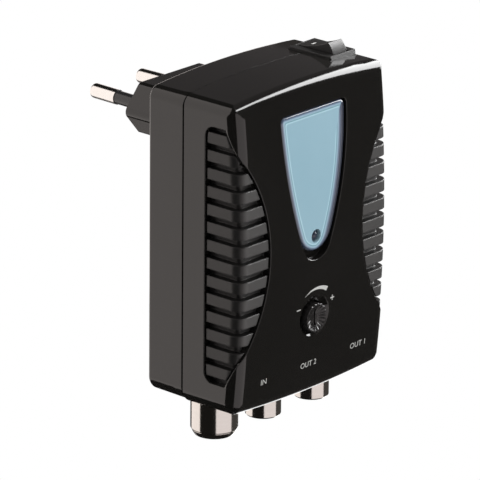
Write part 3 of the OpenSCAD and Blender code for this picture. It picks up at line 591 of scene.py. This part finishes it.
# painted shade and highlight of the badge's border, dark at the outline with light lines further in, by the
# distance from its outline in millimetres
PAINTED_BANDS = [(0.3, (0.030, 0.036, 0.055)), (0.75, (0.065, 0.085, 0.130)), (1.1, (0.140, 0.190, 0.270)),
          (1.35, (0.300, 0.430, 0.530)), (1.65, (0.300, 0.440, 0.530)), (1.75, (0.180, 0.330, 0.395)),
          (1.9, (0.180, 0.330, 0.395)), (2.0, (0.400, 0.600, 0.680)), (2.2, (0.400, 0.600, 0.680)),
          (2.5, (0.280, 0.440, 0.525))]
PAINTED_BANDS_END = PAINTED_BANDS[-1][0]


def blue_with_painted_edge():
    """Glossy pale blue with a border of painted shade and highlight that follows the outline."""
    material, tree, shader = finish("badge_blue")
    skin = placed(tree, SKIN, Grain=700.0, Polish=0.05, Haze=0.04)
    face = between(tree, skin["Cloud"], (0.265, 0.43, 0.515), (0.32, 0.485, 0.57))
    rim = put(tree, "ShaderNodeAttribute", attribute_name="rim").outputs["Fac"]
    ramp = put(tree, "ShaderNodeValToRGB", {"Fac": maths(tree, "DIVIDE", rim, PAINTED_BANDS_END)})
    stops = ramp.color_ramp.elements
    while len(stops) < len(PAINTED_BANDS):
        stops.new(1.0)
    for stop, (place, colour) in zip(stops, PAINTED_BANDS):
        stop.position = place / PAINTED_BANDS_END
        stop.color = (*colour, 1)
    field = ramped(tree, rim, PAINTED_BANDS_END - PAINTED_BANDS_FADE, PAINTED_BANDS_END)
    shade = between(tree, field, ramp.outputs["Color"], face)
    tree.links.new(shade, shader.inputs["Base Color"])
    tree.links.new(skin["Roughness"], shader.inputs["Roughness"])
    shader.inputs["Coat Weight"].default_value = 1.0
    return material


badge_blue = blue_with_painted_edge()
dress(nodes["badge"], badge_blue)


def outward_ways(outline):
    """Direction straight out of a closed outline at each of its points."""
    count = len(outline)
    runs = [Vector(outline[(i + 1) % count]) - Vector(outline[i - 1]) for i in range(count)]
    return [Vector((-run.y, run.x)).normalized() for run in runs]


def badge():
    """Shield from its foot over the rim and the field to the light's hole. Each point keeps its place in the
    painted shade and highlight bands as an attribute, for the finish."""
    turns = [math.radians(along(RIM_START, RIM_END, k / RIM_STEPS)) for k in range(RIM_STEPS + 1)]
    rim = [(BADGE_GAP + RIM_R * (1 - math.cos(a)), BADGE_SINK + RIM_R * (1 - math.sin(a))) for a in turns]
    # inset and sink: the foot, the rim, a shallow groove at the inner line and the edge of the field
    profile = [(BADGE_GAP, BADGE_FOOT), *rim, (1.5, 0.195), (1.66, 0.20), (1.74, 0.225), (1.9, 0.225),
               (1.98, 0.20), (2.1, 0.195), (2.25, 0.20), (2.45, 0.225), (2.6, 0.23)]
    loops = [(shield(inset), sink) for inset, sink in profile]
    edge, face = loops[-1]
    hole = light_hole(LED_HOLE_R, edge)
    ways = outward_ways(edge)
    reach = [(Vector(a) - Vector(b)).dot(way) for a, b, way in zip(edge, hole, ways)]
    depths = [[inset] * len(edge) for inset, sink in profile]
    for k in range(1, FIELD_ROWS + 1):
        t = k / FIELD_ROWS
        row = [(along(a[0], b[0], t), along(a[1], b[1], t)) for a, b in zip(edge, hole)]
        loops.append((row, face))
        depths.append([profile[-1][0] + t * d for d in reach])
    loops.append((hole, BADGE_FOOT))
    depths.append(depths[-1])
    # along the right side the painted shade and highlight bands start further in and are wider
    right = [max(way.x, 0.0) for way in ways]
    places = [(d - PAINTED_BANDS_SHIFT * w) / (1 + PAINTED_BANDS_STRETCH * w) for row in depths for d, w in zip(row, right)]
    rows = [[on_front(x, Z_MID + z, sink) for x, z in loop] for loop, sink in loops]
    piece = solid("badge_shield", *skin_loops(rows, wrapped=True))
    crisp(piece, 40)
    layer = piece.data.attributes.new("rim", "FLOAT", "POINT")
    layer.data.foreach_set("value", places)
    dress(piece, badge_blue)
    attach(piece, "case")
    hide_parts("badge")


badge()

# input connector: radii of its body, socket, neck and neck's bore; its axis and heights come from the frame
IN_R, SOCKET_R, NECK_R, NECK_BORE_R = 6.2, 4.8, 3.4, 2.4
SOCKET_DEPTH = 10.7
IN_AXIS = sum(box("in_contact"), Vector()) / 2
IN_END, NECK_TOP = (corner.z for corner in box("in_shell"))
NECK_FOOT = box("shield_can")[0].z
SOCKET_TOP = IN_END + SOCKET_DEPTH
IN_STEPS = 128


def input_shell():
    """Turned shell with a tapered lip and a groove."""
    # radius, and rise over the open end
    mouth = [(SOCKET_R, 0.25), (4.92, 0.06), (5.08, 0.0), (5.2, 0.06)]
    taper = [(5.36, 0.28), (5.55, 0.6), (5.72, 0.92), (5.86, 1.24), (5.93, 1.45)]
    groove = [(5.93, 1.5), (5.8, 1.54), (5.8, 1.64)]
    shoulder = [(6.08, 1.72), (6.17, 1.82), (IN_R, 1.95), (IN_R, 2.02)]
    profile = [(radius, IN_END + rise) for radius, rise in mouth + taper + groove + shoulder]
    profile += [(IN_R, NECK_FOOT), (NECK_R, NECK_FOOT), (NECK_R, NECK_TOP), (NECK_BORE_R, NECK_TOP),
                (NECK_BORE_R, SOCKET_TOP), (SOCKET_R, SOCKET_TOP)]
    ways = [Vector((math.cos(a), math.sin(a), 0.0)) for a in full_turn(IN_STEPS)]
    loops = []
    for radius, z in profile:
        centre = Vector((IN_AXIS.x, IN_AXIS.y, z))
        loops.append([(centre + radius * way) * MM for way in ways])
    piece = solid("in_shell_turned", *skin_loops(loops, wrapped=True))
    crisp(piece, 35)
    dress(piece, nickel)
    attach(piece, "case")
    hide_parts("in_shell")


input_shell()

# gain knob: its radius, flutes and slot; its axis, face and back come from the frame
KNOB_R, FLUTES, FLUTE_POINTS, FLUTE_ROUND = 4.0, 18, 12, 0.7
SLOT_HALF_WIDTH, SLOT_HALF_LENGTH, SLOT_DEPTH, SLOT_OPEN = 0.35, 2.2, 1.42, 1.0
KNOB_Z = joints["gain_turn"]["pos_m"][2] / MM
KNOB_FACE, KNOB_BACK = (corner.y for corner in box("gain_knob"))
SHAFT_R, SHAFT_TIP = 1.5, box("pot_shaft")[0].y
SHAFT_GAP = 0.01


def round_axis(radius, y, turn):
    """Point round the knob's axis, in metres."""
    return Vector((radius * math.cos(turn), y, KNOB_Z + radius * math.sin(turn))) * MM


def slot_block():
    """Block in the place of the screwdriver slot, open to the front."""
    block = [(x, y, z) for x in (-SLOT_HALF_WIDTH, SLOT_HALF_WIDTH)
             for y in (KNOB_FACE - SLOT_OPEN, KNOB_FACE + SLOT_DEPTH)
             for z in (KNOB_Z - SLOT_HALF_LENGTH, KNOB_Z + SLOT_HALF_LENGTH)]
    sides = [(0, 1, 3, 2), (4, 6, 7, 5), (0, 4, 5, 1), (2, 3, 7, 6), (0, 2, 6, 4), (1, 5, 7, 3)]
    return solid("slot_block", [Vector(p) * MM for p in block], sides)


def ridged_knob():
    """Knob with a fluted side, a hollow ridged face and a slot."""
    # radius, depth behind the face, and how far the valleys pull in and press back
    side = [(KNOB_R, KNOB_BACK - KNOB_FACE, 0.26, 0.0), (KNOB_R, 0.45, 0.26, 0.0)]
    brim = [(KNOB_R - 0.05, 0.22, 0.26, 0.02), (KNOB_R - 0.18, 0.06, 0.22, 0.06),
            (KNOB_R - 0.38, 0.0, 0.12, 0.12), (KNOB_R - 0.6, 0.05, 0.0, 0.16)]
    hollow = [(2.9, 0.28, 0.0, 0.17), (2.3, 0.55, 0.0, 0.15), (1.7, 0.76, 0.0, 0.10), (1.2, 0.86, 0.0, 0.03),
              (0.6, 0.9, 0.0, 0.0), (0.15, 0.9, 0.0, 0.0)]
    turns = full_turn(FLUTES * FLUTE_POINTS)
    valleys = [(0.5 - 0.5 * math.cos(FLUTES * turn)) ** FLUTE_ROUND for turn in turns]
    loops = [[round_axis(SHAFT_R, y, turn) for turn in turns] for y in (SHAFT_TIP - SHAFT_GAP, KNOB_BACK)]
    for radius, depth, pull, press in side + brim + hollow:
        loops.append([round_axis(radius - pull * valley, KNOB_FACE + depth + press * valley, turn)
                      for turn, valley in zip(turns, valleys)])
    points, faces = skin_loops(loops)
    faces.append(tuple(range(len(turns))))
    faces.append(tuple(range(len(points) - len(turns), len(points))))
    piece = solid("knob_ridged", points, faces)
    block = slot_block()
    cut = piece.modifiers.new("slot", "BOOLEAN")
    cut.object = block
    cut.operation = "DIFFERENCE"
    cut.solver = "EXACT"
    made = bpy.data.meshes.new_from_object(piece.evaluated_get(bpy.context.evaluated_depsgraph_get()))
    piece.modifiers.clear()
    piece.data = made
    bpy.data.objects.remove(block)
    crisp(piece, 50)
    dress(piece, knob_black)
    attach(piece, "knob")
    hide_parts("gain_knob")


ridged_knob()

# printed marks: how high the ink's top and foot lie over the skin, for the plain marks and for the words
MARK_TOP, MARK_FOOT = 0.03, -0.012
WORD_TOP, WORD_FOOT = 0.021, -0.009
WORD_HEIGHT = 1.5


def printed(piece, body, ink=print_white):
    """Ink on one of the bodies."""
    dress(piece, ink)
    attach(piece, body)


def legend(name, text, left, right, base):
    """Word in plain capitals, drawn as a thin layer of ink on the bowed front."""
    curve = bpy.data.curves.new(name, "FONT")
    curve.body = text
    curve.extrude = 0.5
    writing = bpy.data.objects.new(name, curve)
    scene.collection.objects.link(writing)
    shape = bpy.data.meshes.new_from_object(writing.evaluated_get(bpy.context.evaluated_depsgraph_get()))
    corners = [v.co.copy() for v in shape.vertices]
    faces = [tuple(f.vertices) for f in shape.polygons]
    bpy.data.objects.remove(writing)
    bpy.data.curves.remove(curve)
    bpy.data.meshes.remove(shape)
    low, high = ([pick(c[i] for c in corners) for i in range(3)] for pick in (min, max))
    points = []
    for corner in corners:
        u, v, w = ((corner[i] - low[i]) / (high[i] - low[i]) for i in range(3))
        points.append(on_front(along(left, right, u), base + v * WORD_HEIGHT, -along(WORD_FOOT, WORD_TOP, w)))
    printed(solid(name, points, faces), "case")


legend("legend_in", "IN", left=-19.25, right=-17.15, base=-62.0)
legend("legend_out2", "OUT 2", left=-3.9, right=2.2, base=-61.8)
legend("legend_out1", "OUT 1", left=15.6, right=21.5, base=-61.5)


def plate(name, outline, place, body, ink=print_white):
    """Thin layer of ink over a flat outline; place puts a point of it on its surface at some height."""
    count = len(outline)
    points = [place(u, v, height) for height in (MARK_FOOT, MARK_TOP) for u, v in outline]
    faces = [tuple(range(count - 1, -1, -1)), tuple(range(count, 2 * count))]
    faces += [(i, (i + 1) % count, count + (i + 1) % count, count + i) for i in range(count)]
    printed(solid(name, points, faces), body, ink)


def round_knob(u, v, height):
    """Point on the front, counted from the knob's axis."""
    return on_front(u, KNOB_Z + v, -height)


# the arc over the knob: its inner radius, its thickness at the weak and the strong end, and their angles
ARC_R, ARC_THIN, ARC_THICK = 7.55, 0.1, 1.25
ARC_WEAK, ARC_STRONG, ARC_STEPS = math.radians(121), math.radians(56), 24
# the minus and the plus: their places from the knob's axis, and half the length and width of their strokes
MINUS_PLACE, PLUS_PLACE = (-6.3, 3.5), (6.8, 3.7)
STROKE_HALF_LENGTH, STROKE_HALF_WIDTH = 0.75, 0.16


def gain_arc():
    """Mark over the knob that grows from the weak end to the strong end."""
    inner, outer = [], []
    for i in range(ARC_STEPS + 1):
        t = i / ARC_STEPS
        angle = along(ARC_WEAK, ARC_STRONG, t)
        reach = ARC_R + along(ARC_THIN, ARC_THICK, t)
        inner.append((ARC_R * math.cos(angle), ARC_R * math.sin(angle)))
        outer.append((reach * math.cos(angle), reach * math.sin(angle)))
    plate("gain_arc", outer + inner[::-1], round_knob, "case")


def bar(centre, half_u, half_v):
    """Outline of a level stroke."""
    u, v = centre
    return [(u + a * half_u, v + b * half_v) for a, b in ((-1, -1), (1, -1), (1, 1), (-1, 1))]


def cross(centre, arm, half):
    """Outline of two crossing strokes."""
    u, v = centre
    corners = [(half, half), (half, arm), (-half, arm), (-half, half), (-arm, half), (-arm, -half),
               (-half, -half), (-half, -arm), (half, -arm), (half, -half), (arm, -half), (arm, half)]
    return [(u + a, v + b) for a, b in corners]


gain_arc()
plate("mark_minus", bar(MINUS_PLACE, STROKE_HALF_LENGTH, STROKE_HALF_WIDTH), round_knob, "case")
plate("mark_plus", cross(PLUS_PLACE, STROKE_HALF_LENGTH, STROKE_HALF_WIDTH), round_knob, "case")

# rocker: its pivot and its tilt at rest come from the frame; its top is hollow, lowest in the middle
ROCKER_PIVOT = Vector(joints["rocker_tilt"]["pos_m"]) / MM
ROCKER_TILT = math.radians(joints["rocker_tilt"]["range_deg"][1] / 2)
ROCKER_TOP, ROCKER_HOLLOW_R, ROCKER_SINK = 3.8, 24.0, 0.8
ROCKER_MARK_PLACE, ROCKER_MARK_HALF = (0.0, 2.3), (0.8, 0.32)


def on_rocker(u, v, height):
    """Point on the rocker's hollow top: u across, v towards the back."""
    dip = ROCKER_SINK - (ROCKER_HOLLOW_R - math.sqrt(ROCKER_HOLLOW_R ** 2 - v * v))
    w = ROCKER_TOP - dip + height
    turned = Vector((u, v * math.cos(ROCKER_TILT) + w * math.sin(ROCKER_TILT),
                     w * math.cos(ROCKER_TILT) - v * math.sin(ROCKER_TILT)))
    return (ROCKER_PIVOT + turned) * MM


plate("rocker_mark", bar(ROCKER_MARK_PLACE, *ROCKER_MARK_HALF), on_rocker, "rocker", mark_white)
